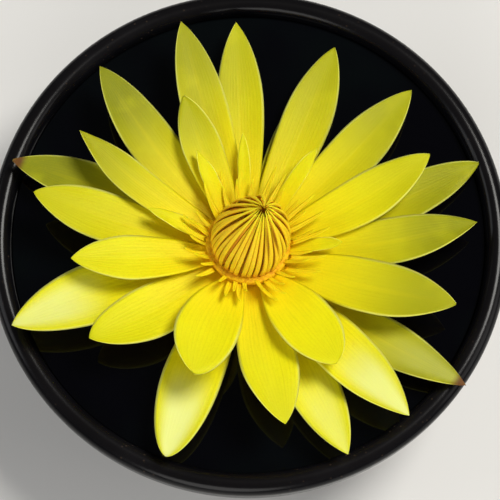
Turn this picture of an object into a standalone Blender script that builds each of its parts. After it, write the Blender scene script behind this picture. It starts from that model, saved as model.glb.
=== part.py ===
"""A yellow water lily flower afloat in a round black bowl of water.

Run it with: blender --background --python part.py

+Z is up, in metres, and the origin is the centre of the bowl's base. The flower hangs on
one leaning empty, so every petal, sepal and stamen is placed in the flower's own frame:
its lift is counted from the flower's plane and its azimuth from +X towards +Y.
"""

import math
from typing import NamedTuple

import bmesh
import bpy
from mathutils import Euler, Vector

MM = 0.001

# Bowl, in millimetres: each side of the wall is a quarter of an ellipse
BOWL_HEIGHT = 60.0
RIM_RADIUS = 83.2
WALL = 7.2
BASE_RADIUS = 36.0
BASE_CHAMFER = 2.0
FLOOR_RADIUS = 30.0
FLOOR_HEIGHT = 8.0
BOWL_SEGMENTS = 40
WALL_STEPS = 8
RIM_STEPS = 4

# Water, in millimetres
WATER_LEVEL = 55.0
WATER_GAP = 0.5
GAP = 0.35

# Flower, in millimetres and degrees: the lean is about X, then about Y
FLOWER_PLACE = (-1.0, -7.5, 58.5)
FLOWER_LEAN = (-9.0, 5.0)

# Petals, in millimetres: they grow on levels, one above another
LEVEL_PITCH = 1.5
LOWEST_RADIUS = 8.6
RADIUS_PER_LEVEL = 0.6
PETAL_THICKNESS = 0.6
PETAL_NECK = 5.0
PETAL_RISE = 0.9
PETAL_TIP = 0.9
PETAL_FACES_ALONG = 10
PETAL_FACES_ACROSS = 4

# Receptacle and stem, in millimetres
STEM_RADIUS = 4.2
STEM_END = -24.0
RECEPTACLE_BOTTOM = -1.0
RECEPTACLE_TOP = 11.2
RECEPTACLE_TOP_RADIUS = 10.3
RECEPTACLE_LOW_RADIUS = 8.0
DISC_DEPTH = 1.2
DISC_RIM = 1.0
FLARE = 1.6
STEM_SEGMENTS = 24

# Stamens, in millimetres: each whorl is a collar with tongues rising from it
COLLAR_BOTTOM = 10.4
COLLAR_HEIGHT = 1.2
STAMEN_THICKNESS = 0.5
STAMEN_ROWS = 6
STAMEN_TAPER = 0.35
STAMEN_INCURVE = 2.2
DRAWN_BEND = 1.5


class Petal(NamedTuple):
    """One petal or sepal: where it grows, how it arches and bows sideways, and its outline."""

    name: str
    level: int
    azimuth: float
    lift: float
    length: float
    width: float
    bow: float = 0.0
    arch: float = 4.0
    roundness: float = 0.3
    belly: float = 0.58
    cup: float = 0.16


PETALS = (
    # sepals
    Petal("sepal_back", 0, 68, 10, 55, 14),
    Petal("sepal_left", 0, 158, 4, 72, 16, bow=-2.2),
    Petal("sepal_front", 0, 249, -5, 61, 18.5, bow=-1.4, roundness=0.8),
    Petal("sepal_right", 0, 327.5, 3, 72, 15, bow=-1.6),
    # lowest petals
    Petal("low_petal_right", 1, 21.5, 9, 72, 16, bow=-2.6),
    Petal("low_petal_back", 1, 67.5, 10, 68, 16, bow=-1.2),
    Petal("low_petal_left", 1, 199, 0, 68, 20, bow=-1.5, roundness=0.45),
    Petal("low_petal_front", 1, 295, 0, 63, 17, bow=-0.7),
    # second petals
    Petal("second_petal_1", 2, 5.5, 12, 64, 16, bow=-3),
    Petal("second_petal_2", 2, 45, 12, 67, 16, bow=-1.8),
    Petal("second_petal_3", 2, 92.5, 12, 68, 15),
    Petal("second_petal_4", 2, 129, 12, 67, 16, bow=2.4),
    Petal("second_petal_5", 2, 167, 9, 60, 17, bow=2.2, roundness=0.5),
    Petal("second_petal_6", 2, 212, 3, 48, 17.5, bow=2.6, roundness=0.6),
    Petal("second_petal_7", 2, 311.5, 5, 64, 18, bow=-0.8),
    # third petals
    Petal("third_petal_1", 3, 26.5, 15.5, 56, 16, bow=-3),
    Petal("third_petal_2", 3, 106.5, 15, 68, 15, bow=0.5),
    Petal("third_petal_3", 3, 147, 14, 55, 11, bow=3),
    Petal("third_petal_4", 3, 187.5, 11, 46, 15, bow=1),
    Petal("third_petal_5", 3, 341.5, 12, 58, 19, bow=-1.8),
    Petal("third_petal_6", 3, 280, 7, 50, 18, bow=-1),
    # high petals
    Petal("high_petal_back", 4, 113.5, 17, 43, 13, bow=0.8),
    Petal("high_petal_front", 4, 248.5, 13, 38, 20, bow=-1.5, roundness=0.8),
    Petal("high_petal_right", 4, 302.5, 15, 39, 19, roundness=0.8),
    # narrow innermost petals
    Petal("inner_petal_1", 5, 359.5, 22, 19, 4.5),
    Petal("inner_petal_2", 5, 54.5, 24, 28, 5),
    Petal("inner_petal_3", 5, 93, 25, 26, 4),
    Petal("inner_petal_4", 5, 120, 26, 24, 5),
    Petal("inner_petal_5", 5, 164, 22, 23, 5),
)


class Whorl(NamedTuple):
    """One ring of stamens. Height and reach are how far its tips are above and out from its collar,
    and drawn is how far they are all pulled aside.
    """

    name: str
    count: int
    collar_radius: float
    height: float
    reach: float
    bulge: float
    fill: float
    short_share: float
    drawn: tuple


WHORLS = (
    Whorl("stamens_inner", 30, 10.8, 20.0, -9.4, 1.7, 0.75, 0.82, (3.0, 3.2)),
    Whorl("stamens_middle", 22, 12.2, 6.5, 7.5, 0.5, 0.5, 0.9, (1.0, 1.5)),
    Whorl("stamens_outer", 18, 13.5, 7.0, 10.0, 0.5, 0.5, 0.85, (2.5, 3.0)),
)


def material(name, colour, roughness, metallic=0.0):
    """A Principled material of one colour."""
    made = bpy.data.materials.new(name)
    made.use_nodes = True
    shader = made.node_tree.nodes["Principled BSDF"]
    shader.inputs["Base Color"].default_value = (*colour, 1.0)
    shader.inputs["Roughness"].default_value = roughness
    shader.inputs["Metallic"].default_value = metallic
    return made


def clear_scene():
    for obj in list(bpy.data.objects):
        bpy.data.objects.remove(obj)


def new_collection(name):
    made = bpy.data.collections.new(name)
    bpy.context.scene.collection.children.link(made)
    return made


def new_object(name, mesh, home, parent=None):
    obj = bpy.data.objects.new(name, mesh)
    home.objects.link(obj)
    obj.parent = parent
    return obj


def turned(name, profile, segments, home, parent=None):
    """A solid turned about Z from points (radius, height) in millimetres, from the top centre down."""
    mesh = bpy.data.meshes.new(name)
    points = [(radius * MM, 0.0, height * MM) for radius, height in profile]
    edges = [(i, i + 1) for i in range(len(points) - 1)]
    mesh.from_pydata(points, edges, [])
    obj = new_object(name, mesh, home, parent)
    screw = obj.modifiers.new("turn", "SCREW")
    screw.steps = segments
    screw.render_steps = segments
    screw.use_merge_vertices = True
    screw.merge_threshold = 0.0001
    screw.use_smooth_shade = True
    return obj


def bowl_profile():
    """Inside floor, inner wall, rounded rim, outer wall and base, as (radius, height)."""
    rim = WALL / 2
    shoulder = BOWL_HEIGHT - rim
    inner = quarter_ellipse(FLOOR_RADIUS, FLOOR_HEIGHT, RIM_RADIUS - WALL, shoulder, WALL_STEPS)
    outer = quarter_ellipse(BASE_RADIUS, BASE_CHAMFER, RIM_RADIUS, shoulder, WALL_STEPS)
    over = []
    for step in range(1, RIM_STEPS):
        angle = math.pi * step / RIM_STEPS
        over.append((RIM_RADIUS - rim - rim * math.cos(angle), shoulder + rim * math.sin(angle)))
    base = [(BASE_RADIUS - BASE_CHAMFER, 0.0), (0.0, 0.0)]
    return [(0.0, FLOOR_HEIGHT), *inner, *over, *reversed(outer), *base]


def quarter_ellipse(low_radius, low, high_radius, high, steps, share=1.0):
    """Points up a wall that leaves the floor level and stands upright at the top; share stops it early."""
    points = []
    for step in range(steps + 1):
        angle = math.pi / 2 * share * step / steps
        radius = low_radius + (high_radius - low_radius) * math.sin(angle)
        points.append((radius, low + (high - low) * (1 - math.cos(angle))))
    return points


def water_profile():
    """The water's level top, then down its side, which follows the bowl's inner wall."""
    shoulder = BOWL_HEIGHT - WALL / 2
    depth = shoulder - FLOOR_HEIGHT
    share = math.acos(1 - (WATER_LEVEL - WATER_GAP - FLOOR_HEIGHT) / depth) / (math.pi / 2)
    side = quarter_ellipse(
        FLOOR_RADIUS - WATER_GAP,
        FLOOR_HEIGHT + WATER_GAP,
        RIM_RADIUS - WALL - WATER_GAP,
        shoulder + WATER_GAP,
        WALL_STEPS,
        share,
    )
    return [(0.0, WATER_LEVEL), *reversed(side), (0.0, FLOOR_HEIGHT + WATER_GAP)]


def add_bowl(home):
    bowl = turned("bowl", bowl_profile(), BOWL_SEGMENTS, home)
    bowl.data.materials.append(material("black_glaze", (0.012, 0.012, 0.014), 0.12))


def add_water(home, cutters, flower):
    """The water is cut a little larger than the stem it surrounds."""
    water = turned("water", water_profile(), BOWL_SEGMENTS, home)
    water.data.materials.append(material("dark_water", (0.010, 0.014, 0.016), 0.05))
    well_radius = STEM_RADIUS + GAP
    well = turned(
        "stem_well",
        [(0.0, 0.0), (well_radius, 0.0), (well_radius, STEM_END - GAP), (0.0, STEM_END - GAP)],
        STEM_SEGMENTS,
        cutters,
        flower,
    )
    well.hide_render = True
    well.display_type = "WIRE"
    cut = water.modifiers.new("stem_well", "BOOLEAN")
    cut.operation = "DIFFERENCE"
    cut.solver = "EXACT"
    cut.object = well


def level_radius(level):
    """How far from the axis a petal on this level grows."""
    return LOWEST_RADIUS + RADIUS_PER_LEVEL * level


def add_receptacle(home, flower):
    """The stem and the receptacle it widens into, grown as one."""
    profile = [
        (0.0, RECEPTACLE_TOP - DISC_DEPTH),
        (RECEPTACLE_TOP_RADIUS - 3 * DISC_RIM, RECEPTACLE_TOP - DISC_DEPTH / 2),
        (RECEPTACLE_TOP_RADIUS - DISC_RIM, RECEPTACLE_TOP),
        (RECEPTACLE_TOP_RADIUS, RECEPTACLE_TOP - DISC_RIM),
        (RECEPTACLE_LOW_RADIUS, 0.0),
        (RECEPTACLE_LOW_RADIUS - DISC_RIM, RECEPTACLE_BOTTOM),
        (STEM_RADIUS, RECEPTACLE_BOTTOM - FLARE),
        (STEM_RADIUS, STEM_END),
        (0.0, STEM_END),
    ]
    obj = turned("receptacle_and_stem", profile, STEM_SEGMENTS, home, flower)
    obj.data.materials.append(material("stem_green", (0.30, 0.34, 0.06), 0.55))


def arch_point(length, start, end, along):
    """How far out and up a line of this length has come when its lift turns evenly from start to end."""
    turn = end - start
    if abs(turn) < 1e-6:
        return length * along * math.cos(start), length * along * math.sin(start)
    here = start + turn * along
    out = (math.sin(here) - math.sin(start)) / turn
    up = (math.cos(start) - math.cos(here)) / turn
    return length * out, length * up


def half_width(petal, along):
    """Half the petal's width at this share of its length: a neck, a belly, then the tip."""
    full = petal.width / 2
    neck = PETAL_NECK / petal.width
    if along < petal.belly:
        rise = math.sin(math.pi / 2 * along / petal.belly) ** PETAL_RISE
        return full * (neck + (1 - neck) * rise)
    past = (along - petal.belly) / (1 - petal.belly)
    power = 1.0 - 0.5 * petal.roundness
    return max(full * (1 - past**2) ** power, PETAL_TIP / 2)


def petal_point(petal, along, across):
    """A point of the petal's middle surface in the flower's frame, in millimetres."""
    start = math.radians(petal.lift + petal.arch)
    end = math.radians(petal.lift - petal.arch)
    out, up = arch_point(petal.length, start, end, along)
    lift = start + (end - start) * along
    half = half_width(petal, along)
    rise = petal.cup * half * across**2
    point = Vector((
        level_radius(petal.level) + out - rise * math.sin(lift),
        half * across + petal.bow * math.sin(math.pi * along),
        LEVEL_PITCH * petal.level + up + rise * math.cos(lift),
    ))
    point.rotate(Euler((0.0, 0.0, math.radians(petal.azimuth))))
    return point


def petal_mesh(petal):
    shape = bmesh.new()
    bmesh.ops.create_grid(
        shape, x_segments=PETAL_FACES_ALONG, y_segments=PETAL_FACES_ACROSS, size=1.0
    )
    for vertex in shape.verts:
        along = (vertex.co.x + 1) / 2
        vertex.co = petal_point(petal, along, vertex.co.y) * MM
    mesh = bpy.data.meshes.new(petal.name)
    shape.to_mesh(mesh)
    shape.free()
    mesh.shade_smooth()
    return mesh


def thicken(obj, thickness):
    wall = obj.modifiers.new("thickness", "SOLIDIFY")
    wall.thickness = thickness * MM
    wall.offset = 0.0


def add_petals(home, flower):
    yellow = material("petal_yellow", (0.82, 0.75, 0.02), 0.5)
    green = material("sepal_yellow_green", (0.60, 0.62, 0.08), 0.5)
    for petal in PETALS:
        obj = new_object(petal.name, petal_mesh(petal), home, flower)
        obj.data.materials.append(yellow if petal.level else green)
        thicken(obj, PETAL_THICKNESS)


def stamen_spine(whorl, along):
    """Radius and height above the collar of a stamen's middle line, bulging outwards on its way."""
    bulge = whorl.bulge * math.sin(math.pi * along)
    bend = along**STAMEN_INCURVE if whorl.reach < 0 else along
    radius = whorl.collar_radius + whorl.reach * bend + bulge
    return radius, whorl.height * along


def whorl_mesh(whorl):
    """A ring of wall with a tongue rising from every second face of it, as one open surface."""
    shape = bmesh.new()
    columns = 2 * whorl.count
    pitch = 2 * math.pi / columns
    rings = []
    for height in (COLLAR_BOTTOM, COLLAR_BOTTOM + COLLAR_HEIGHT):
        ring = []
        for column in range(columns):
            shift = (0.5 - whorl.fill) * pitch * (1 if column % 2 else -1)
            angle = column * pitch + shift
            ring.append(
                shape.verts.new(
                    Vector((math.cos(angle), math.sin(angle), 0)) * whorl.collar_radius * MM
                    + Vector((0, 0, height * MM))
                )
            )
        rings.append(ring)
    for column in range(columns):
        after = (column + 1) % columns
        shape.faces.new((rings[0][column], rings[0][after], rings[1][after], rings[1][column]))
    for stamen in range(whorl.count):
        share = whorl.short_share if stamen % 2 else 1.0
        low = [rings[1][2 * stamen], rings[1][2 * stamen + 1]]
        middle = (2 * stamen + 0.5) * pitch
        for row in range(1, STAMEN_ROWS + 1):
            along = share * row / STAMEN_ROWS
            radius, height = stamen_spine(whorl, along)
            narrow = 1.0 - STAMEN_TAPER * (row / STAMEN_ROWS) ** 2
            half = whorl.fill * pitch * min(radius, whorl.collar_radius) * narrow
            high = []
            for side in (-1, 1):
                angle = middle + side * half / radius
                point = Vector((
                    radius * math.cos(angle) + whorl.drawn[0] * along**DRAWN_BEND,
                    radius * math.sin(angle) + whorl.drawn[1] * along**DRAWN_BEND,
                    COLLAR_BOTTOM + COLLAR_HEIGHT + height,
                ))
                high.append(shape.verts.new(point * MM))
            shape.faces.new((low[0], low[1], high[1], high[0]))
            low = high
    mesh = bpy.data.meshes.new(whorl.name)
    shape.to_mesh(mesh)
    shape.free()
    mesh.shade_smooth()
    return mesh


def add_stamens(home, flower):
    orange = material("stamen_orange", (0.85, 0.42, 0.02), 0.5)
    for whorl in WHORLS:
        obj = new_object(whorl.name, whorl_mesh(whorl), home, flower)
        obj.data.materials.append(orange)
        thicken(obj, STAMEN_THICKNESS)


def main():
    clear_scene()
    home = new_collection("water_lily_in_bowl")
    cutters = new_collection("cutters")
    flower = bpy.data.objects.new("flower", None)
    home.objects.link(flower)
    flower.location = Vector(FLOWER_PLACE) * MM
    flower.rotation_euler = [math.radians(angle) for angle in (*FLOWER_LEAN, 0.0)]
    add_bowl(home)
    add_water(home, cutters, flower)
    add_receptacle(home, flower)
    add_petals(home, flower)
    add_stamens(home, flower)


main()
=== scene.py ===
"""A yellow water lily afloat on dark water in a round black glazed bowl.

Laid out as an add-on and run as a script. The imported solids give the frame, in metres
with +Z up; each operator makes one group of pieces over them. Petals and stamens come
from Geometry Nodes, in the flower's own leaning frame.
"""

import math
from typing import NamedTuple

import bmesh
import bpy
from mathutils import Matrix, Vector


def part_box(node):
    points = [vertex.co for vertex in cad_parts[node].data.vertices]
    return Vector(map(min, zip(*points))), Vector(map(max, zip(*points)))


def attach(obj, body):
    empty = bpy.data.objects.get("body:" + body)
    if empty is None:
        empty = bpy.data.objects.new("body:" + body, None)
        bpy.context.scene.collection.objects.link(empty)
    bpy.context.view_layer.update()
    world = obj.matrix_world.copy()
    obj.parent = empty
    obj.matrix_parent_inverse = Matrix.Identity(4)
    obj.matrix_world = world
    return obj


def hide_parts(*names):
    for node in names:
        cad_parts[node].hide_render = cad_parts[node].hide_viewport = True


bl_info = {
    "name": "Water Lily in a Bowl",
    "version": (1, 0, 0),
    "blender": (4, 5, 0),
    "location": "View3D > Sidebar > Water Lily",
    "description": "Makes a yellow water lily floating in a black glazed bowl of water",
    "category": "Add Mesh",
}

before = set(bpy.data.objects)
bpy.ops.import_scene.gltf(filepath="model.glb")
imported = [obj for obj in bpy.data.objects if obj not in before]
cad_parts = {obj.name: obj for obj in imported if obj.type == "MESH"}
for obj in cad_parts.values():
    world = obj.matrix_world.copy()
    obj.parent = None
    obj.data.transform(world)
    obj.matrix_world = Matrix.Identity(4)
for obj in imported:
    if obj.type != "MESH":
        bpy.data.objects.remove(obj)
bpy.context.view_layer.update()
RIM_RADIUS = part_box("bowl")[1][0]
RIM_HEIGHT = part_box("bowl")[1][2]
WATER_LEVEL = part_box("water")[1][2]

MM = 0.001
MERGE_DISTANCE = 1e-6


# Petals, in millimetres and degrees, in the flower's own frame


class Petal(NamedTuple):
    """One petal or sepal: where it grows, how it arches and bows, its outline and its colouring."""

    name: str
    level: int
    azimuth: float
    lift: float
    length: float
    width: float
    bow: float = 0.0
    arch: float = 4.0
    roundness: float = 0.3
    belly: float = 0.58
    cup: float = 0.16
    # green: how much greener and darker a petal turns towards its tip; partly real greening, partly
    # painted shade on the far and side petals
    green: float = 0.3
    # pale: how strong a painted sheen, whitish, lies on the outer half of a near petal
    pale: float = 0.0
    brown: float = 0.0


# In the tables, green darkens the far and side petals partly as painted shade, and pale gives the
# near petals a painted sheen
SEPALS = (
    Petal("sepal_back", 0, 68, 10, 55, 14, green=0.9),
    Petal("sepal_left", 0, 158, 4, 72, 16, bow=-2.2, green=1.0, brown=1.0),
    Petal("sepal_front", 0, 249, -5, 61, 18.5, bow=-1.4, roundness=0.8, green=0.0, pale=1.0),
    Petal("sepal_right", 0, 327.5, 3, 72, 15, bow=-1.6, green=0.85, pale=0.2, brown=1.0),
)

PETALS = (
    Petal("low_petal_right", 1, 21.5, 9, 72, 16, bow=-2.6, green=0.85),
    Petal("low_petal_back", 1, 67.5, 10, 68, 16, bow=-1.2, green=0.65),
    Petal("low_petal_left", 1, 199, 0, 68, 20, bow=-1.5, roundness=0.45, green=0.0, pale=0.8),
    Petal("low_petal_front", 1, 295, 0, 63, 17, bow=-0.7, green=0.0, pale=0.4),
    Petal("second_petal_1", 2, 5.5, 12, 64, 16, bow=-3, green=0.9),
    Petal("second_petal_2", 2, 45, 12, 67, 16, bow=-1.8, green=0.75),
    Petal("second_petal_3", 2, 92.5, 12, 68, 15, green=0.55),
    Petal("second_petal_4", 2, 129, 12, 67, 16, bow=2.4, green=1.0),
    Petal("second_petal_5", 2, 167, 9, 60, 17, bow=2.2, roundness=0.5, green=0.35),
    Petal("second_petal_6", 2, 212, 3, 48, 17.5, bow=2.6, roundness=0.6, green=0.05),
    Petal("second_petal_7", 2, 311.5, 5, 64, 18, bow=-0.8, green=0.1, pale=0.9),
    Petal("third_petal_1", 3, 26.5, 15.5, 56, 16, bow=-3, green=0.4),
    Petal("third_petal_2", 3, 106.5, 15, 68, 15, bow=0.5, green=0.8),
    Petal("third_petal_3", 3, 147, 14, 55, 11, bow=3, green=0.7),
    Petal("third_petal_4", 3, 187.5, 11, 46, 15, bow=1, green=0.05),
    Petal("third_petal_5", 3, 341.5, 12, 58, 19, bow=-1.8, green=0.75),
    Petal("third_petal_6", 3, 280, 7, 50, 18, bow=-1, green=0.1),
    Petal("high_petal_back", 4, 113.5, 17, 43, 13, bow=0.8, green=0.65),
    Petal("high_petal_front", 4, 248.5, 13, 38, 20, bow=-1.5, roundness=0.8, green=0.0),
    Petal("high_petal_right", 4, 302.5, 15, 39, 19, roundness=0.8, green=0.0),
    Petal("inner_petal_1", 5, 359.5, 22, 19, 4.5, green=0.1),
    Petal("inner_petal_2", 5, 54.5, 24, 28, 5, green=0.1),
    Petal("inner_petal_3", 5, 93, 25, 26, 4, green=0.1),
    Petal("inner_petal_4", 5, 120, 26, 24, 5, green=0.1),
    Petal("inner_petal_5", 5, 164, 22, 23, 5, green=0.1),
)

LEVEL_PITCH = 1.5
LOWEST_RADIUS = 8.6
RADIUS_PER_LEVEL = 0.6
HIGHEST_LEVEL = 5
FOOT_DEPTH = 0.7


class Round(NamedTuple):
    """One round of stamens. Its tips are this height above its collar and reach this far out."""

    count: int
    collar_radius: float
    height: float
    reach: float
    bulge: float
    incurve: float
    width: float
    taper: float
    thickness: float
    shorter: float
    turn: float
    uneven: float
    seed: int
    drawn: tuple = (0.0, 0.0, 0.0)


COLLAR_TOP = 11.6
COLLAR_HEIGHT = 1.2
CONE_DRAWN = (3.0, 3.2, 0.0)
CONE = Round(
    count=36,
    collar_radius=10.8,
    height=20.0,
    reach=-9.4,
    bulge=1.7,
    incurve=2.2,
    width=1.85,
    taper=0.2,
    thickness=0.6,
    shorter=0.12,
    turn=0.0,
    uneven=0.05,
    seed=3,
    drawn=CONE_DRAWN,
)
# A darker round just inside the cone that shows red-brown through its gaps: painted shade inside the
# cone, on a round of inner stamens
SHADE_LINING = Round(
    count=30,
    collar_radius=10.0,
    height=18.0,
    reach=-8.4,
    bulge=1.5,
    incurve=2.2,
    width=1.9,
    taper=0.3,
    thickness=0.5,
    shorter=0.1,
    turn=0.5,
    uneven=0.03,
    seed=4,
    drawn=CONE_DRAWN,
)
MIDDLE_ROUND = Round(
    count=22,
    collar_radius=12.0,
    height=5.8,
    reach=7.2,
    bulge=0.5,
    incurve=1.0,
    width=1.5,
    taper=0.6,
    thickness=0.4,
    shorter=0.3,
    turn=0.3,
    uneven=0.12,
    seed=5,
    drawn=(1.0, 1.4, 0.0),
)
OUTER_ROUND = Round(
    count=18,
    collar_radius=13.2,
    height=5.2,
    reach=10.2,
    bulge=0.5,
    incurve=1.0,
    width=1.9,
    taper=0.7,
    thickness=0.4,
    shorter=0.35,
    turn=0.0,
    uneven=0.14,
    seed=6,
    drawn=(2.2, 2.6, 0.0),
)
STAMEN_ROWS = 20
STAMEN_COLUMNS = 5


# Turned pieces

BED_SEGMENTS = 72
BOWL_SEGMENTS = 160
WALL_STEPS = 40
RIM_STEPS = 16
WATER_STEPS = 30
WATER_GAP = 0.0003
ON_AXIS = 1e-7
SHARP_ANGLE = 50


# Node trees

# A Mix node has sockets for every kind of data. These are the colours' ones.
MIX_COLOUR = 6
MIX_OTHER = 7
MIX_RESULT = 2

# A Random Value node's sockets for numbers
RANDOM_LOW = 2
RANDOM_HIGH = 3
RANDOM_RESULT = 1


class Value:
    """What one socket gives. Sums on it add Math nodes to its tree."""

    def __init__(self, graph, socket):
        self.graph = graph
        self.socket = socket

    def __add__(self, other):
        return self.graph.math("ADD", self, other)

    def __radd__(self, other):
        return self.graph.math("ADD", other, self)

    def __sub__(self, other):
        return self.graph.math("SUBTRACT", self, other)

    def __rsub__(self, other):
        return self.graph.math("SUBTRACT", other, self)

    def __mul__(self, other):
        return self.graph.math("MULTIPLY", self, other)

    def __truediv__(self, other):
        return self.graph.math("DIVIDE", self, other)

    def __pow__(self, other):
        return self.graph.math("POWER", self, other)

    def __neg__(self):
        return self.graph.math("MULTIPLY", self, -1.0)


class Graph:
    """A node tree that is written as expressions."""

    def __init__(self, tree):
        self.tree = tree

    def node(self, kind, settings=None, inputs=None, output=0):
        """A node of this type, its settings first, then a value or a link for each socket."""
        made = self.tree.nodes.new(kind)
        for name, setting in (settings or {}).items():
            if name == "stops":
                self.set_stops(made.color_ramp, setting)
            else:
                setattr(made, name, setting)
        for key, given in (inputs or {}).items():
            if isinstance(given, Value):
                self.tree.links.new(given.socket, made.inputs[key])
            else:
                made.inputs[key].default_value = given
        return Value(self, made.outputs[output])

    @staticmethod
    def set_stops(ramp, stops):
        for place, _ in stops[2:]:
            ramp.elements.new(place)
        for element, (place, colour) in zip(ramp.elements, sorted(stops)):
            element.position = place
            element.color = (*colour, 1.0)

    def math(self, operation, *values):
        return self.node("ShaderNodeMath", {"operation": operation}, dict(enumerate(values)))

    def sine(self, value):
        return self.math("SINE", value)

    def cosine(self, value):
        return self.math("COSINE", value)

    def larger(self, value, other):
        return self.math("MAXIMUM", value, other)

    def smaller(self, value, other):
        return self.math("MINIMUM", value, other)

    def step_up(self, value, low, high):
        """0 below low and 1 above high, with a smooth rise between. Swapped limits make it fall."""
        settings = {"interpolation_type": "SMOOTHSTEP"}
        limits = {"Value": value, "From Min": low, "From Max": high}
        return self.node("ShaderNodeMapRange", settings, limits)

    def vector(self, x, y, z):
        return self.node("ShaderNodeCombineXYZ", None, {0: x, 1: y, 2: z})

    def mix(self, share, colour, other):
        """The first colour, with this share of the other over it."""
        settings = {"data_type": "RGBA", "clamp_factor": True}
        given = {0: share, MIX_COLOUR: rgba(colour), MIX_OTHER: rgba(other)}
        return self.node("ShaderNodeMix", settings, given, MIX_RESULT)

    def noise(self, place, scale, detail=2.0, roughness=0.5):
        given = {"Vector": place, "Scale": scale, "Detail": detail, "Roughness": roughness}
        return self.node("ShaderNodeTexNoise", None, given)

    def attribute(self, name):
        return self.node("ShaderNodeAttribute", {"attribute_name": name}, None, "Fac")

    def object_place(self):
        return self.node("ShaderNodeTexCoord", None, None, "Object")

    def axes(self, vector):
        """The vector's three numbers."""
        split = self.node("ShaderNodeSeparateXYZ", None, {0: vector})
        return [Value(self, socket) for socket in split.socket.node.outputs]


def rgba(colour):
    return colour if isinstance(colour, Value) else (*colour[:3], 1.0)


class Shape(Graph):
    """A Geometry Nodes tree with named inputs that makes one mesh from nothing."""

    KINDS = {
        "count": "NodeSocketInt",
        "number": "NodeSocketFloat",
        "vector": "NodeSocketVector",
        "material": "NodeSocketMaterial",
    }

    def __init__(self, name, inputs):
        super().__init__(bpy.data.node_groups.new(name, "GeometryNodeTree"))
        self.tree.interface.new_socket(
            name="Geometry", in_out="OUTPUT", socket_type="NodeSocketGeometry"
        )
        for label, kind in inputs.items():
            self.tree.interface.new_socket(
                name=label, in_out="INPUT", socket_type=self.KINDS[kind]
            )
        self.given = self.tree.nodes.new("NodeGroupInput")

    def __getitem__(self, label):
        return Value(self, self.given.outputs[label])

    def place(self):
        return self.node("GeometryNodeInputPosition")

    def named(self, label):
        return self.node("GeometryNodeInputNamedAttribute", None, {"Name": label})

    def store(self, mesh, label, value, domain="POINT"):
        given = {"Geometry": mesh, "Name": label, "Value": value}
        return self.node("GeometryNodeStoreNamedAttribute", {"domain": domain}, given)

    def moved(self, mesh, place=None, offset=(0.0, 0.0, 0.0)):
        given = {"Geometry": mesh, "Offset": offset}
        if place is not None:
            given["Position"] = place
        return self.node("GeometryNodeSetPosition", None, given)

    def blade(self, rows, columns):
        """A flat grid that keeps how far along and across each point is."""
        given = {"Size X": 1.0, "Size Y": 1.0, "Vertices X": rows, "Vertices Y": columns}
        grid = self.node("GeometryNodeMeshGrid", None, given)
        x, y, _ = self.axes(self.place())
        along = 1.0 - self.larger(0.5 - x, 0.0) ** 1.3
        across = y * 2.0
        kept = self.store(grid, "along", along)
        return self.store(kept, "across", across)

    def thickened(self, sheet, thickness):
        """The sheet with a second face behind it. They meet along the rim."""
        along = self.named("along")
        across = self.named("across")
        middle = 1.0 - across**6.0
        ends = 1.0 - (along * 2.0 - 1.0) ** 20.0
        half = middle * ends * thickness * 0.5
        normal = self.node("GeometryNodeInputNormal")
        up = self.node("ShaderNodeVectorMath", {"operation": "SCALE"}, {0: normal, "Scale": half})
        down = self.node(
            "ShaderNodeVectorMath", {"operation": "SCALE"}, {0: normal, "Scale": -half}
        )
        back = self.node("GeometryNodeFlipFaces", None, {"Mesh": self.moved(sheet, offset=down)})
        join = self.tree.nodes.new("GeometryNodeJoinGeometry")
        for side in (self.moved(sheet, offset=up), back):
            self.tree.links.new(side.socket, join.inputs[0])
        joined = Value(self, join.outputs[0])
        given = {"Geometry": joined, "Distance": MERGE_DISTANCE}
        return self.node("GeometryNodeMergeByDistance", None, given)

    def finish(self, mesh):
        """Lean the mesh with the flower, put it in place, make it plain and give it its material."""
        given = {"Geometry": mesh, "Translation": self["Place"], "Rotation": self["Lean"]}
        placed = self.node("GeometryNodeTransform", None, given)
        smooth = self.node("GeometryNodeSetShadeSmooth", None, {"Geometry": placed})
        plain = self.node("GeometryNodeRealizeInstances", None, {"Geometry": smooth})
        coated = self.node(
            "GeometryNodeSetMaterial", None, {"Geometry": plain, "Material": self["Material"]}
        )
        out = self.tree.nodes.new("NodeGroupOutput")
        self.tree.links.new(coated.socket, out.inputs[0])

    def make(self, name, values):
        """An object of the mesh that this tree makes from these inputs."""
        holder = bpy.data.objects.new(name + "_holder", bpy.data.meshes.new(name + "_holder"))
        bpy.context.scene.collection.objects.link(holder)
        modifier = holder.modifiers.new("shape", "NODES")
        modifier.node_group = self.tree
        for item in self.tree.interface.items_tree:
            if item.in_out == "INPUT":
                modifier[item.identifier] = values[item.name]
        bpy.context.view_layer.update()
        graph = bpy.context.evaluated_depsgraph_get()
        mesh = bpy.data.meshes.new_from_object(holder.evaluated_get(graph), depsgraph=graph)
        bpy.data.objects.remove(holder)
        if not mesh.polygons:
            raise RuntimeError(f"{name} came out empty")
        return new_object(name, mesh)


def new_object(name, mesh):
    mesh.name = name
    made = bpy.data.objects.new(name, mesh)
    bpy.context.scene.collection.objects.link(made)
    return made


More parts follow.
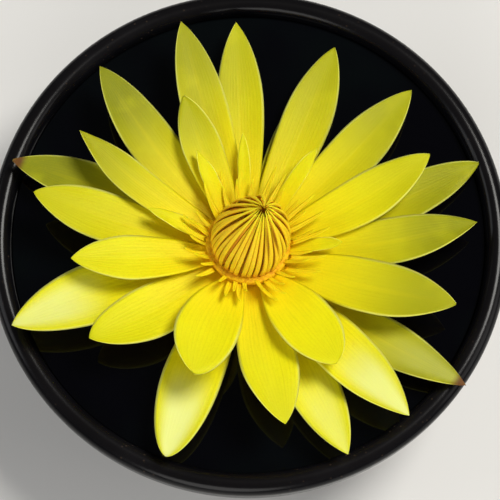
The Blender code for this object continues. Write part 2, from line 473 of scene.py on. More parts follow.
def petal_shape():
    """A tree for one petal: a blade that arches from its foot and is narrow at the neck and tip."""
    shape = Shape("petal_shape", {
        "Rows": "count", "Columns": "count", "Azimuth": "number", "Foot Lift": "number",
        "Tip Lift": "number", "Length": "number", "Width": "number", "Bow": "number",
        "Roundness": "number", "Belly": "number", "Cup": "number", "Foot Radius": "number",
        "Foot Height": "number", "Neck Width": "number", "Tip Width": "number",
        "Thickness": "number", "Ripple": "number", "Phase": "number", "Tone": "number",
        "Green": "number", "Pale": "number", "Brown": "number", "Lean": "vector",
        "Place": "vector", "Material": "material",
    })
    blade = shape.blade(shape["Rows"], shape["Columns"])
    along = shape.named("along")
    across = shape.named("across")

    full = shape["Width"] * 0.5
    neck = shape["Neck Width"] / shape["Width"]
    early = shape.smaller(along / shape["Belly"], 1.0)
    rise = shape.sine(early * (math.pi / 2)) ** 0.9
    past = shape.larger((along - shape["Belly"]) / (1.0 - shape["Belly"]), 0.0)
    closing = (1.0 - past * past) ** (1.0 - shape["Roundness"] * 0.5)
    half = shape.larger(full * (neck + (1.0 - neck) * rise) * closing, shape["Tip Width"] * 0.5)

    turn = shape["Tip Lift"] - shape["Foot Lift"]
    lift = shape["Foot Lift"] + turn * along
    out = shape["Length"] * (shape.sine(lift) - shape.sine(shape["Foot Lift"])) / turn
    up = shape["Length"] * (shape.cosine(shape["Foot Lift"]) - shape.cosine(lift)) / turn

    waves = shape.sine(along * 17.0 + shape["Phase"] + across * 1.5)
    slow_waves = shape.sine(along * 7.0 + shape["Phase"] * 2.0)
    ripple = shape["Ripple"] * (waves * 0.4 + slow_waves * across) * across * across * along
    proud = shape["Cup"] * half * across * across + ripple
    radius = shape["Foot Radius"] + out - proud * shape.sine(lift)
    height = shape["Foot Height"] + up + proud * shape.cosine(lift)
    side = half * across + shape["Bow"] * shape.sine(along * math.pi)

    cosine = shape.cosine(shape["Azimuth"])
    sine = shape.sine(shape["Azimuth"])
    place = shape.vector(radius * cosine - side * sine, radius * sine + side * cosine, height)
    shaped = shape.moved(blade, place)
    solid = shape.thickened(shaped, shape["Thickness"])
    for label in ("Tone", "Green", "Pale", "Brown"):
        solid = shape.store(solid, label.lower(), shape[label])
    shape.finish(solid)
    return shape


def stamen_shape():
    """A tree for one round of stamens: a narrow blade repeated about the flower's axis."""
    shape = Shape("stamen_shape", {
        "Rows": "count", "Columns": "count", "Count": "count", "Collar Radius": "number",
        "Collar Top": "number", "Height": "number", "Reach": "number", "Bulge": "number",
        "Incurve": "number", "Width": "number", "Taper": "number", "Thickness": "number",
        "Shorter": "number", "Turn": "number", "Uneven": "number", "Seed": "count",
        "Drawn": "vector", "Lean": "vector", "Place": "vector", "Material": "material",
    })
    blade = shape.blade(shape["Rows"], shape["Columns"])
    along = shape.named("along")
    across = shape.named("across")
    bulge = shape["Bulge"] * shape.sine(along * math.pi)
    radius = shape["Collar Radius"] + shape["Reach"] * along ** shape["Incurve"] + bulge
    squeeze = shape.smaller(radius / shape["Collar Radius"], 1.0)
    tip = (1.0 - shape.larger(along * 8.0 - 7.0, 0.0) ** 2.0) ** 0.5
    half = shape["Width"] * 0.5 * (1.0 - shape["Taper"] * along * along) * squeeze
    side = half * across * shape.larger(tip, 0.12)
    crown = half * 0.5 * (1.0 - across * across)
    shaped = shape.moved(blade, shape.vector(radius + crown, side, shape["Height"] * along))
    solid = shape.thickened(shaped, shape["Thickness"])

    index = shape.node("GeometryNodeInputIndex")
    points = shape.node("GeometryNodePoints", None, {"Count": shape["Count"]})
    chances = [
        shape.node(
            "FunctionNodeRandomValue",
            {"data_type": "FLOAT"},
            {RANDOM_LOW: -1.0, RANDOM_HIGH: 1.0, "ID": index, "Seed": shape["Seed"] + kind},
            RANDOM_RESULT,
        )
        for kind in range(3)
    ]
    angle = (index + shape["Turn"] + chances[0] * shape["Uneven"] * 3.0) * math.tau / shape["Count"]
    odd = shape.math("MODULO", index, 2.0)
    tall = 1.0 - shape["Shorter"] * odd + chances[1] * shape["Uneven"]
    given = {
        "Points": points,
        "Instance": solid,
        "Rotation": shape.vector(0.0, chances[2] * shape["Uneven"] * 0.6, angle),
        "Scale": shape.vector(1.0, 1.0, tall),
    }
    ring = shape.node("GeometryNodeInstanceOnPoints", None, given)
    toned = shape.store(ring, "tone", chances[1] * 0.5 + 0.5, "INSTANCE")
    raised = shape.node(
        "GeometryNodeTransform",
        None,
        {"Geometry": toned, "Translation": shape.vector(0.0, 0.0, shape["Collar Top"])},
    )
    plain = shape.node("GeometryNodeRealizeInstances", None, {"Geometry": raised})
    aside = shape.node(
        "ShaderNodeVectorMath",
        {"operation": "SCALE"},
        {0: shape["Drawn"], "Scale": along**1.5},
    )
    shape.finish(shape.moved(plain, offset=aside))
    return shape


# Materials


def new_material(name, **uniform):
    """A Principled material and its graph. The keywords set the shader's own sockets."""
    made = bpy.data.materials.new(name)
    made.use_nodes = True
    graph = Graph(made.node_tree)
    shader = made.node_tree.nodes["Principled BSDF"]
    for label, value in uniform.items():
        words = label.replace("_", " ").title().replace("Ior", "IOR")
        shader.inputs[words].default_value = value
    return made, graph, shader


def feed(graph, shader, label, value):
    graph.tree.links.new(value.socket, shader.inputs[label])


def bump(graph, shader, height, distance, strength):
    given = {"Height": height, "Distance": distance, "Strength": strength}
    feed(graph, shader, "Normal", graph.node("ShaderNodeBump", None, given))


def petal_material(name, colours):
    """Petal skin: fine veins run along it, its margin is pale, and it greens and darkens towards the
    tip, partly as painted shade. A painted sheen whitens the near petals' outer halves.
    """
    made, graph, shader = new_material(
        name,
        roughness=0.45,
        specular_ior_level=0.1,
        subsurface_weight=0.35,
        subsurface_scale=0.0015,
    )
    shader.inputs["Subsurface Radius"].default_value = (1.0, 0.75, 0.12)
    along = graph.attribute("along")
    across = graph.attribute("across")
    green = graph.attribute("green")
    tone = graph.attribute("tone")
    place = graph.object_place()

    ramp = {
        "stops": [
            (0.0, colours.petal_foot),
            (1.0, colours.petal_tip),
            (0.22, colours.petal_heart),
            (0.62, colours.petal_middle),
        ]
    }
    skin = graph.node("ShaderNodeValToRGB", ramp, {"Fac": along})
    # Painted shade, partly real greening: the far and side petals turn darker and greener towards
    # their tips
    shade = green * graph.step_up(along, 0.2, 0.85) * 0.85
    skin = graph.mix(shade, skin, colours.petal_green_and_shade)

    slow = graph.noise(place, 90.0, 2.0)
    grain = graph.noise(place, 1500.0, 3.0, 0.6)
    stretched = graph.vector(along * 5.0 + tone * 9.0, across * 16.0, tone * 5.0)
    streaks = graph.noise(stretched, 1.0, 4.0, 0.6)
    veins = graph.cosine(across * 44.0 + slow * 3.0) * 0.5 + 0.5
    veins = veins**3.0 * graph.step_up(along, 0.0, 0.12)
    skin = graph.mix(veins * 0.1 + graph.step_up(streaks, 0.45, 0.8) * 0.2, skin, colours.vein)
    skin = graph.mix(graph.step_up(grain, 0.45, 0.75) * 0.14, skin, colours.vein)
    skin = graph.mix(graph.step_up(slow, 0.5, 0.75) * 0.2, skin, colours.petal_tip)

    width = graph.math("ABSOLUTE", across)
    midrib = graph.step_up(width, 0.16, 0.0) * graph.step_up(along, 0.95, 0.4)
    skin = graph.mix(midrib * 0.18, skin, colours.petal_heart)
    # Painted sheen: a whitish highlight over the outer half of the near petals
    painted_sheen = graph.attribute("pale") * graph.step_up(along, 0.5, 0.78)
    painted_sheen = painted_sheen * graph.step_up(width, 0.95, 0.3)
    skin = graph.mix(painted_sheen * 0.9, skin, colours.painted_sheen)
    margin = graph.step_up(width, 0.9, 0.96) * graph.step_up(along, 0.3, 0.65)
    skin = graph.mix(margin * 0.7, skin, colours.margin)
    browned = graph.attribute("brown") * graph.step_up(along + slow * 0.05, 0.955, 0.995)
    skin = graph.mix(browned, skin, colours.brown_tip)
    feed(graph, shader, "Base Color", skin)
    feed(graph, shader, "Roughness", 0.38 + grain * 0.14 + streaks * 0.06)
    bump(graph, shader, veins * 0.25 + streaks * 0.9 + grain * 0.25 - midrib * 0.6, 0.0004, 0.18)
    return made


def stamen_material(name, foot, body, tip):
    """Stamen skin: red-brown at the foot, with painted shade in red-brown along its edges where the
    grooves lie, paler towards the tip.
    """
    made, graph, shader = new_material(
        name,
        roughness=0.5,
        specular_ior_level=0.2,
        subsurface_weight=0.35,
        subsurface_scale=0.0012,
    )
    shader.inputs["Subsurface Radius"].default_value = (1.0, 0.5, 0.1)
    along = graph.attribute("along")
    across = graph.attribute("across")
    tone = graph.attribute("tone")
    place = graph.object_place()
    ramp = {"stops": [(0.0, foot), (1.0, tip), (0.25, body), (0.7, body)]}
    skin = graph.node("ShaderNodeValToRGB", ramp, {"Fac": along})
    width = graph.math("ABSOLUTE", across)
    # Painted shade: the blade's edges darken towards the foot colour, as in the grooves between
    # stamens
    edge_shade = graph.step_up(width, 0.55, 1.0) * graph.step_up(along, 1.0, 0.5)
    speckle = graph.noise(place, 1400.0, 3.0, 0.6)
    skin = graph.mix(edge_shade * 0.5, skin, foot)
    skin = graph.mix(graph.step_up(speckle, 0.45, 0.75) * 0.2, skin, foot)
    skin = graph.mix(tone * 0.3, skin, tip)
    feed(graph, shader, "Base Color", skin)
    feed(graph, shader, "Roughness", 0.4 + speckle * 0.25)
    groove = graph.step_up(width, 0.0, 0.5)
    bump(graph, shader, groove + speckle * 0.5, 0.0003, 0.5)
    return made


def bed_material(colours):
    """The orange cushion between the stamens' feet, with painted shade, darker and redder, in its
    hollows.
    """
    made, graph, shader = new_material("bed_skin", roughness=0.6, specular_ior_level=0.15)
    place = graph.object_place()
    lumps = graph.noise(place, 700.0, 3.0, 0.6)
    # Painted shade: the low places of the lumps are darker and redder
    hollow_shade = graph.step_up(lumps, 0.62, 0.4)
    skin = graph.mix(hollow_shade * 0.5, colours.stamen_foot, colours.cone_foot_and_shade)
    feed(graph, shader, "Base Color", skin)
    feed(graph, shader, "Roughness", 0.5 + lumps * 0.2)
    bump(graph, shader, lumps, 0.0007, 0.9)
    return made


def stem_material(colours):
    """Mottled green skin of the stem and receptacle, orange near the stamens."""
    made, graph, shader = new_material("stem_skin", roughness=0.5)
    place = graph.object_place()
    mottle = graph.noise(place, 260.0, 3.0)
    fine = graph.noise(place, 1800.0, 2.0)
    _, _, height = graph.axes(place)
    skin = graph.mix(graph.step_up(mottle, 0.35, 0.7), colours.stem, colours.stem_dark)
    upper = graph.step_up(height + mottle * 0.002, 0.060, 0.064)
    skin = graph.mix(upper, skin, colours.stamen_foot)
    feed(graph, shader, "Base Color", skin)
    feed(graph, shader, "Roughness", 0.45 + fine * 0.2)
    bump(graph, shader, mottle + fine * 0.4, 0.0004, 0.4)
    return made


def glaze_material(colours):
    """Black glaze over dark stoneware, thinner and browner at the rim. It stops above the base."""
    made, graph, shader = new_material("black_glaze", specular_ior_level=0.15)
    place = graph.object_place()
    _, _, height = graph.axes(place)
    cloud = graph.noise(place, 35.0, 4.0, 0.55)
    fine = graph.noise(place, 900.0, 3.0, 0.6)
    speckle = graph.node(
        "ShaderNodeTexVoronoi", {"feature": "F1"}, {"Vector": place, "Scale": 420.0}
    )
    glaze = graph.mix(graph.step_up(cloud, 0.4, 0.7) * 0.6, colours.glaze, colours.glaze_sheen)
    flecks = graph.step_up(speckle, 0.16, 0.08) * graph.step_up(cloud, 0.42, 0.6)
    glaze = graph.mix(flecks * 0.35, glaze, colours.clay)
    rim = graph.step_up(height + cloud * 0.002, RIM_HEIGHT - 0.0012, RIM_HEIGHT + 0.0012)
    glaze = graph.mix(rim * 0.2, glaze, colours.rim_break)
    bare = graph.step_up(height + cloud * 0.0015, 0.0042, 0.0036)
    clay = graph.mix(fine, colours.clay, colours.clay_dark)
    feed(graph, shader, "Base Color", graph.mix(bare, glaze, clay))
    feed(graph, shader, "Roughness", 0.16 + fine * 0.04 + cloud * 0.06 + bare * 0.5)
    rings = graph.sine(height * 1500.0 + cloud * 5.0) * 0.25
    bump(graph, shader, rings + cloud + fine * 0.15 + bare * fine, 0.0002, 0.15)
    return made


def water_material(colours):
    """Dark still water, a little green, with faint ripples."""
    made, graph, shader = new_material("dark_water", ior=1.33, specular_ior_level=0.3)
    place = graph.object_place()
    deep = graph.noise(place, 22.0, 3.0)
    ripple = graph.noise(place, 60.0, 2.0, 0.4)
    tint = graph.mix(graph.step_up(deep, 0.4, 0.7), colours.water, colours.water_green)
    feed(graph, shader, "Base Color", tint)
    feed(graph, shader, "Roughness", 0.02 + deep * 0.03)
    bump(graph, shader, ripple, 0.0006, 0.06)
    return made


# Settings


def size_setting(name, description, default):
    return bpy.props.FloatProperty(
        name=name, description=description, default=default, unit="LENGTH", precision=4
    )


def colour_setting(name, description, default):
    return bpy.props.FloatVectorProperty(
        name=name, description=description, default=default, subtype="COLOR", size=3
    )


def angle_setting(name, description, default):
    return bpy.props.FloatProperty(
        name=name, description=description, default=math.radians(default), subtype="ANGLE"
    )


class LilyFlowerSettings(bpy.types.PropertyGroup):
    """How the flower leans, and how fine and rippled its petals are."""

    lean: bpy.props.FloatVectorProperty(
        name="Lean",
        description="How the flower leans about X and Y",
        default=(math.radians(-9), math.radians(5), 0.0),
        subtype="EULER",
    )
    place: bpy.props.FloatVectorProperty(
        name="Place",
        description="Where the flower's axis meets the plane of its sepals",
        default=(-0.001, -0.0075, 0.0585),
        subtype="TRANSLATION",
    )
    thickness: size_setting("Petal thickness", "Thickness at the middle of a petal", 0.0006)
    neck_width: size_setting("Neck width", "Width of a petal where it grows", 0.005)
    tip_width: size_setting("Tip width", "Width left at a petal's point", 0.0005)
    ripple: size_setting("Ripple", "How far a petal's margin waves", 0.0007)
    rows: bpy.props.IntProperty(
        name="Rows", description="Points along a petal", default=56, min=8
    )
    columns: bpy.props.IntProperty(
        name="Columns", description="Points across a petal", default=17, min=5
    )


class LilyColourSettings(bpy.types.PropertyGroup):
    """The colours of the petals and stamens."""

    petal_foot: colour_setting("Petal foot", "Where the petal grows", (0.90, 0.60, 0.003))
    petal_heart: colour_setting("Petal heart", "Nearest the stamens", (0.95, 0.76, 0.006))
    petal_middle: colour_setting("Petal middle", "Middle of the petal", (0.88, 0.80, 0.005))
    petal_tip: colour_setting("Petal tip", "Towards the point", (0.76, 0.73, 0.010))
    # Painted shade, partly real greening, for the far and side petals
    petal_green_and_shade: colour_setting("Petal green", "The greener outer petals", (0.16, 0.19, 0.012))
    vein: colour_setting("Vein", "Veins and streaks", (0.52, 0.45, 0.002))
    # A painted sheen colour, whitish, for the near petals
    painted_sheen: colour_setting("Bloom", "Pale bloom on the outer petals", (0.88, 0.91, 0.30))
    margin: colour_setting("Margin", "The thin pale margin", (0.94, 0.92, 0.17))
    brown_tip: colour_setting("Brown tip", "The withered tip of a sepal", (0.16, 0.07, 0.02))
    # Cone foot colour, also used as painted shade in the cone's grooves and the bed's hollows
    cone_foot_and_shade: colour_setting("Cone foot", "Foot and edges of the inner stamens", (0.58, 0.17, 0.006))
    cone_body: colour_setting("Cone body", "The inner stamens", (1.0, 0.61, 0.016))
    cone_tip: colour_setting("Cone tip", "Tips of the inner stamens", (1.0, 0.84, 0.016))
    # Painted shade seen between the cone's stamens
    lining_shade: colour_setting("Cone lining", "Behind the inner stamens", (0.55, 0.20, 0.007))
    stamen_foot: colour_setting("Stamen foot", "Foot of the outer stamens", (0.95, 0.56, 0.005))
    stamen_body: colour_setting("Stamen body", "The outer stamens", (0.94, 0.70, 0.006))
    stamen_tip: colour_setting("Stamen tip", "Tips of the outer stamens", (0.95, 0.82, 0.006))
    stem: colour_setting("Stem", "Stem and receptacle", (0.20, 0.24, 0.03))
    stem_dark: colour_setting("Stem mottle", "Darker mottling of the stem", (0.09, 0.10, 0.02))


class BowlSettings(bpy.types.PropertyGroup):
    """The bowl's wall and glaze, and the water in it."""

    wall: size_setting("Wall", "Thickness of the wall at the rim", 0.0072)
    base_radius: size_setting("Base radius", "Radius where the wall leaves the base", 0.036)
    base_chamfer: size_setting("Base chamfer", "Height and depth of the base's bevel", 0.002)
    floor_radius: size_setting("Floor radius", "Radius of the flat floor inside", 0.030)
    floor_height: size_setting("Floor height", "Height of the floor inside", 0.008)
    glaze: colour_setting("Glaze", "The black glaze", (0.003, 0.003, 0.004))
    glaze_sheen: colour_setting("Glaze cloud", "Cloudier patches of glaze", (0.007, 0.007, 0.009))
    rim_break: colour_setting("Rim break", "Thin glaze on the rim", (0.014, 0.011, 0.009))
    clay: colour_setting("Clay", "Bare clay round the base", (0.13, 0.085, 0.055))
    clay_dark: colour_setting("Dark clay", "Darker grains in the clay", (0.05, 0.033, 0.022))
    water: colour_setting("Water", "The dark water", (0.0010, 0.0010, 0.0020))
    water_green: colour_setting("Green water", "Greener patches of water", (0.0016, 0.0026, 0.0030))


class StageSettings(bpy.types.PropertyGroup):
    """The camera, lights and floor."""

    elevation: angle_setting("Elevation", "How far above the rim the camera looks from", 75)
    distance: size_setting("Distance", "From the camera to the rim's plane", 0.62)
    lens: bpy.props.FloatProperty(
        name="Lens",
        description="Focal length in millimetres",
        default=140.5,
        subtype="DISTANCE_CAMERA",
    )
    aim: bpy.props.FloatVectorProperty(
        name="Aim",
        description="Where the camera looks, on the rim's plane",
        default=(0.0005, -0.0053),
        size=2,
        unit="LENGTH",
    )
    key_power: bpy.props.FloatProperty(
        name="Key power", description="Power of the main light", default=13.9, unit="POWER"
    )
    fill_power: bpy.props.FloatProperty(
        name="Fill power", description="Power of each soft low light", default=3.2, unit="POWER"
    )
    floor_colour: colour_setting("Floor", "The pale floor", (0.78, 0.77, 0.75))
    sky_colour: colour_setting("Sky", "Light from all round", (0.085, 0.087, 0.09))


# How far the floor runs each way from the middle
FLOOR_REACH = 2.0


# Making the pieces


def add_piece(piece, nodes):
    """Let the piece stand for these CAD nodes, on the object's one body."""
    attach(piece, "root")
    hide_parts(*nodes)


def make_petals(context, petals, material):
    flower = context.scene.lily_flower
    shape = petal_shape()
    for petal in petals:
        # The margin of each petal waves at a phase of its own
        phase = (petal.azimuth * 0.37 + petal.level * 1.9) % math.tau
        values = {
            "Rows": flower.rows,
            "Columns": flower.columns,
            "Azimuth": math.radians(petal.azimuth),
            "Foot Lift": math.radians(petal.lift + petal.arch),
            "Tip Lift": math.radians(petal.lift - petal.arch),
            "Length": petal.length * MM,
            "Width": petal.width * MM,
            "Bow": petal.bow * MM,
            "Roundness": petal.roundness,
            "Belly": petal.belly,
            "Cup": petal.cup,
            "Foot Radius": (LOWEST_RADIUS + RADIUS_PER_LEVEL * petal.level) * MM,
            "Foot Height": LEVEL_PITCH * petal.level * MM,
            "Neck Width": flower.neck_width,
            "Tip Width": flower.tip_width,
            "Thickness": flower.thickness,
            "Ripple": flower.ripple,
            "Phase": phase,
            "Tone": math.sin(phase) * 0.5 + 0.5,
            "Green": petal.green,
            "Pale": petal.pale,
            "Brown": petal.brown,
            "Lean": flower.lean[:],
            "Place": flower.place[:],
            "Material": material,
        }
        blade = shape.make(petal.name + "_blade", values)
        add_piece(blade, [petal.name])
    bpy.data.node_groups.remove(shape.tree)


def make_round(context, shape, name, stamens, material):
    flower = context.scene.lily_flower
    values = {
        "Rows": STAMEN_ROWS,
        "Columns": STAMEN_COLUMNS,
        "Count": stamens.count,
        "Collar Radius": stamens.collar_radius * MM,
        "Collar Top": (COLLAR_TOP - COLLAR_HEIGHT) * MM,
        "Height": stamens.height * MM,
        "Reach": stamens.reach * MM,
        "Bulge": stamens.bulge * MM,
        "Incurve": stamens.incurve,
        "Width": stamens.width * MM,
        "Taper": stamens.taper,
        "Thickness": stamens.thickness * MM,
        "Shorter": stamens.shorter,
        "Turn": stamens.turn,
        "Uneven": stamens.uneven,
        "Seed": stamens.seed,
        "Drawn": [length * MM for length in stamens.drawn],
        "Lean": flower.lean[:],
        "Place": flower.place[:],
        "Material": material,
    }
    return shape.make(name, values)


def turned_mesh(name, profile, segments):
    """A closed solid turned about Z from (radius, height) points, both ends on the axis."""
    shape = bmesh.new()
    rings = []
    for radius, height in profile:
        if radius < ON_AXIS:
            rings.append([shape.verts.new((0.0, 0.0, height))])
            continue
        ring = []
        for step in range(segments):
            angle = math.tau * step / segments
            place = (radius * math.cos(angle), radius * math.sin(angle), height)
            ring.append(shape.verts.new(place))
        rings.append(ring)
    for high, low in zip(rings, rings[1:]):
        for step in range(segments):
            after = (step + 1) % segments
            corners = [high[step % len(high)], low[step % len(low)]]
            corners += [low[after % len(low)], high[after % len(high)]]
            shape.faces.new(list(dict.fromkeys(corners)))
    bmesh.ops.recalc_face_normals(shape, faces=shape.faces)
    mesh = bpy.data.meshes.new(name)
    shape.to_mesh(mesh)
    shape.free()
    mesh.shade_smooth()
    mesh.set_sharp_from_angle(angle=math.radians(SHARP_ANGLE))
    return mesh


def wall_curve(low_radius, low, high_radius, high, steps, share=1.0):
    """Points up a wall that leaves the floor level and stands upright at the top."""
    points = []
    for step in range(steps + 1):
        angle = math.pi / 2 * share * step / steps
        radius = low_radius + (high_radius - low_radius) * math.sin(angle)
        points.append((radius, low + (high - low) * (1 - math.cos(angle))))
    return points


def bowl_profile(bowl):
    half = bowl.wall / 2
    shoulder = RIM_HEIGHT - half
    inside = RIM_RADIUS - bowl.wall
    inner = wall_curve(bowl.floor_radius, bowl.floor_height, inside, shoulder, WALL_STEPS)
    outer = wall_curve(bowl.base_radius, bowl.base_chamfer, RIM_RADIUS, shoulder, WALL_STEPS)
    over = []
    for step in range(1, RIM_STEPS):
        angle = math.pi * step / RIM_STEPS
        over.append((RIM_RADIUS - half - half * math.cos(angle), shoulder + half * math.sin(angle)))
    base = [(bowl.base_radius - bowl.base_chamfer, 0.0), (0.0, 0.0)]
    return [(0.0, bowl.floor_height), *inner, *over, *reversed(outer), *base]


def water_profile(bowl):
    """A level top and a side just inside the wall."""
    shoulder = RIM_HEIGHT - bowl.wall / 2
    depth = shoulder - bowl.floor_height
    share = math.acos(1 - (WATER_LEVEL - WATER_GAP - bowl.floor_height) / depth) / (math.pi / 2)
    side = wall_curve(
        bowl.floor_radius - WATER_GAP,
        bowl.floor_height + WATER_GAP,
        RIM_RADIUS - bowl.wall - WATER_GAP,
        shoulder + WATER_GAP,
        WATER_STEPS,
        share,
    )
    return [(0.0, WATER_LEVEL), *reversed(side), (0.0, bowl.floor_height + WATER_GAP)]


def bed_profile():
    """The cushion under the stamens. Its side narrows downwards and takes in every petal's foot."""
    points = [(0.0, COLLAR_TOP - 0.1), (9.0, COLLAR_TOP - 0.2), (12.0, COLLAR_TOP - 0.4)]
    points += [(13.1, COLLAR_TOP - 0.7), (13.3, COLLAR_TOP - 1.1)]
    for level in (HIGHEST_LEVEL, 0):
        foot = LOWEST_RADIUS + RADIUS_PER_LEVEL * level
        points.append((foot + FOOT_DEPTH, LEVEL_PITCH * level - FOOT_DEPTH))
    points.append((0.0, -FOOT_DEPTH))
    return [(radius * MM, height * MM) for radius, height in points]


class LILY_OT_petals(bpy.types.Operator):
    """Make every petal of the flower"""

    bl_idname = "lily.petals"
    bl_label = "Make Petals"

    def execute(self, context):
        skin = petal_material("petal_skin", context.scene.lily_colours)
        make_petals(context, PETALS, skin)
        return {"FINISHED"}


class LILY_OT_sepals(bpy.types.Operator):
    """Make the four sepals under the petals"""

    bl_idname = "lily.sepals"
    bl_label = "Make Sepals"

    def execute(self, context):
        skin = petal_material("sepal_skin", context.scene.lily_colours)
        make_petals(context, SEPALS, skin)
        return {"FINISHED"}


class LILY_OT_stamens(bpy.types.Operator):
    """Make the cone of stamens and the two looser rounds about it"""

    bl_idname = "lily.stamens"
    bl_label = "Make Stamens"

    def execute(self, context):
        colours = context.scene.lily_colours
        cone = stamen_material("cone_skin", colours.cone_foot_and_shade, colours.cone_body, colours.cone_tip)
        # The darker inner round is painted shade inside the cone
        lining_shade = stamen_material("lining_shade_skin", colours.cone_foot_and_shade, colours.lining_shade, colours.cone_body)
        outer = stamen_material(
            "stamen_skin", colours.stamen_foot, colours.stamen_body, colours.stamen_tip
        )
        shape = stamen_shape()
        rounds = (
            ("cone_stamens", CONE, cone, ["stamens_inner"]),
            ("cone_lining_shade", SHADE_LINING, lining_shade, []),
            ("middle_stamens", MIDDLE_ROUND, outer, ["stamens_middle"]),
            ("outer_stamens", OUTER_ROUND, outer, ["stamens_outer"]),
        )
        for name, stamens, skin, nodes in rounds:
            add_piece(make_round(context, shape, name, stamens, skin), nodes)
        bpy.data.node_groups.remove(shape.tree)
        flower = context.scene.lily_flower
        mesh = turned_mesh("stamen_bed", bed_profile(), BED_SEGMENTS)
        mesh.transform(Matrix.LocRotScale(flower.place, flower.lean, None))
        bed = new_object("stamen_bed", mesh)
        bed.data.materials.append(bed_material(colours))
        add_piece(bed, [])
        return {"FINISHED"}


class LILY_OT_stem(bpy.types.Operator):
    """Give the stem and receptacle their skin"""

    bl_idname = "lily.stem"
    bl_label = "Finish Stem"

    def execute(self, context):
        node = bpy.data.objects["receptacle_and_stem"]
        skin = stem_material(context.scene.lily_colours)
        for slot in node.material_slots:
            slot.material = skin
        return {"FINISHED"}


class LILY_OT_bowl(bpy.types.Operator):
    """Make the glazed bowl"""

    bl_idname = "lily.bowl"
    bl_label = "Make Bowl"

    def execute(self, context):
        bowl = context.scene.lily_bowl
        mesh = turned_mesh("glazed_bowl", bowl_profile(bowl), BOWL_SEGMENTS)
        piece = new_object("glazed_bowl", mesh)
        piece.data.materials.append(glaze_material(bowl))
        add_piece(piece, ["bowl"])
        return {"FINISHED"}


class LILY_OT_water(bpy.types.Operator):
    """Fill the bowl with still dark water"""

    bl_idname = "lily.water"
    bl_label = "Fill Bowl"

    def execute(self, context):
        bowl = context.scene.lily_bowl
        mesh = turned_mesh("still_water", water_profile(bowl), BOWL_SEGMENTS)
        piece = new_object("still_water", mesh)
        piece.data.materials.append(water_material(bowl))
        add_piece(piece, ["water"])
        return {"FINISHED"}


def aim_at(obj, target):
    obj.rotation_euler = (Vector(target) - obj.location).to_track_quat("-Z", "Y").to_euler()


def from_direction(azimuth, elevation, distance, target):
    """A place this far from the target in the direction of these angles, in degrees."""
    azimuth = math.radians(azimuth)
    elevation = math.radians(elevation)
    level = math.cos(elevation) * distance
    return (
        target[0] + level * math.cos(azimuth),
        target[1] + level * math.sin(azimuth),
        target[2] + math.sin(elevation) * distance,
    )


class Lamp(NamedTuple):
    """One soft light: its direction in degrees, how far off it is, its power, size and colour."""

    name: str
    azimuth: float
    elevation: float
    distance: float
    power: float
    size: float
    colour: tuple


def add_light(lamp, target):
    data = bpy.data.lights.new(lamp.name, "AREA")
    data.shape = "DISK"
    data.energy = lamp.power
    data.size = lamp.size
    data.color = lamp.colour
    light = bpy.data.objects.new(lamp.name, data)
    bpy.context.scene.collection.objects.link(light)
    light.location = from_direction(lamp.azimuth, lamp.elevation, lamp.distance, target)
    aim_at(light, target)


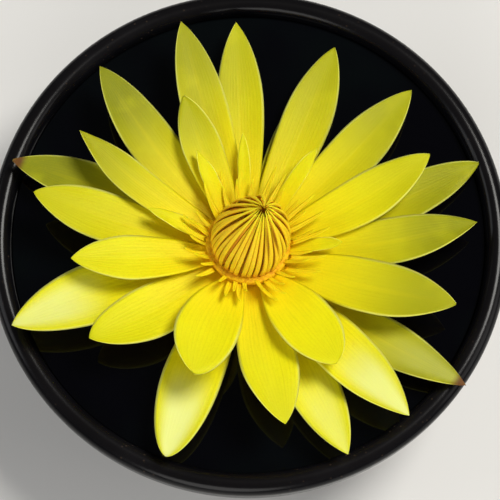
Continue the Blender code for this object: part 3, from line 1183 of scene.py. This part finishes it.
class LILY_OT_stage(bpy.types.Operator):
    """Make the pale floor, the soft lights and the camera"""

    bl_idname = "lily.stage"
    bl_label = "Make Stage"

    def execute(self, context):
        stage = context.scene.lily_stage
        mesh = bpy.data.meshes.new("pale_floor")
        shape = bmesh.new()
        bmesh.ops.create_grid(shape, x_segments=1, y_segments=1, size=FLOOR_REACH)
        shape.to_mesh(mesh)
        shape.free()
        floor = new_object("pale_floor", mesh)
        finish, _, shader = new_material("pale_floor", roughness=0.7)
        shader.inputs["Base Color"].default_value = rgba(stage.floor_colour)
        mesh.materials.append(finish)

        target = (stage.aim[0], stage.aim[1], RIM_HEIGHT)
        lamps = (
            Lamp("key_light", 30, 61, 1.3, stage.key_power, 0.5, (1.0, 0.98, 0.93)),
            Lamp("front_light", -100, 25, 1.4, stage.fill_power * 2.4, 0.9, (1.0, 0.98, 0.95)),
            Lamp("left_light", 175, 28, 1.4, stage.fill_power * 1.4, 0.9, (0.96, 0.98, 1.0)),
            Lamp("right_light", -10, 28, 1.4, stage.fill_power, 0.9, (1.0, 0.98, 0.95)),
        )
        for lamp in lamps:
            add_light(lamp, target)

        world = bpy.data.worlds.new("soft_sky")
        world.use_nodes = True
        world.node_tree.nodes["Background"].inputs["Color"].default_value = rgba(stage.sky_colour)
        context.scene.world = world

        data = bpy.data.cameras.new("view")
        data.lens = stage.lens
        data.clip_start = 0.01
        camera = bpy.data.objects.new("view", data)
        context.scene.collection.objects.link(camera)
        camera.location = from_direction(-90, math.degrees(stage.elevation), stage.distance, target)
        aim_at(camera, target)
        context.scene.camera = camera
        context.scene.view_settings.view_transform = "Standard"
        return {"FINISHED"}


class LILY_PT_panel(bpy.types.Panel):
    """The lily's settings and the buttons that make its pieces"""

    bl_label = "Water Lily"
    bl_idname = "LILY_PT_panel"
    bl_space_type = "VIEW_3D"
    bl_region_type = "UI"
    bl_category = "Water Lily"

    def draw(self, context):
        layout = self.layout
        scene = context.scene
        for settings in (scene.lily_flower, scene.lily_colours, scene.lily_bowl, scene.lily_stage):
            box = layout.box()
            for name in settings.__annotations__:
                box.prop(settings, name)
        for operator in OPERATORS:
            layout.operator(operator.bl_idname)


SETTINGS = (
    ("lily_flower", LilyFlowerSettings),
    ("lily_colours", LilyColourSettings),
    ("lily_bowl", BowlSettings),
    ("lily_stage", StageSettings),
)

OPERATORS = (
    LILY_OT_bowl,
    LILY_OT_water,
    LILY_OT_stem,
    LILY_OT_sepals,
    LILY_OT_petals,
    LILY_OT_stamens,
    LILY_OT_stage,
)


def register():
    for name, settings in SETTINGS:
        bpy.utils.register_class(settings)
        setattr(bpy.types.Scene, name, bpy.props.PointerProperty(type=settings))
    for operator in OPERATORS:
        bpy.utils.register_class(operator)
    bpy.utils.register_class(LILY_PT_panel)


def unregister():
    bpy.utils.unregister_class(LILY_PT_panel)
    for operator in reversed(OPERATORS):
        bpy.utils.unregister_class(operator)
    for name, settings in reversed(SETTINGS):
        delattr(bpy.types.Scene, name)
        bpy.utils.unregister_class(settings)


def main():
    register()
    bpy.ops.lily.bowl()
    bpy.ops.lily.water()
    bpy.ops.lily.stem()
    bpy.ops.lily.sepals()
    bpy.ops.lily.petals()
    bpy.ops.lily.stamens()
    bpy.ops.lily.stage()


if __name__ == "__main__":
    main()
